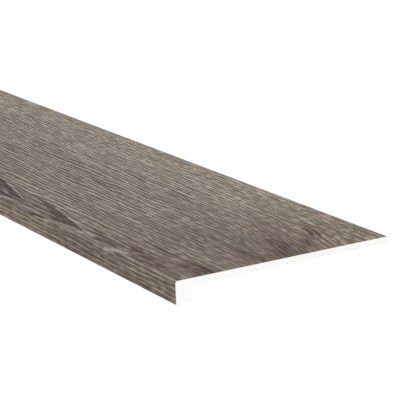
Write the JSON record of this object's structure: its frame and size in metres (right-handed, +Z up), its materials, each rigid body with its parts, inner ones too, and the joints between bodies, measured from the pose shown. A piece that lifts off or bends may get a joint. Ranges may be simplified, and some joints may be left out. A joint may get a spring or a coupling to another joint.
{
  "type": "stair tread",
  "caption": "Retrofit stair tread: a flat foamed board with a dropped square nose and grooved underside, wrapped over its top and nose in a wood-look vinyl film.",
  "frame": {"origin": "under the middle of the tread, at the height of the nose's foot: the middle of the bounding box's base", "axes": "+X along the tread's length, +Y from the nose towards the next riser, +Z up; the nose faces -Y"},
  "size_m": [1.194, 0.308, 0.03],
  "materials": {
    "foamed_core": "white foamed vinyl, smooth extruded skin, and fine closed cells on the sawn ends",
    "printed_film": "vinyl film printed with a grey-brown oak grain and embossed along it, low sheen"
  },
  "bodies": {
    "root": {"core_board": "foamed_core", "decor_film": "printed_film"}
  },
  "joints": []
}
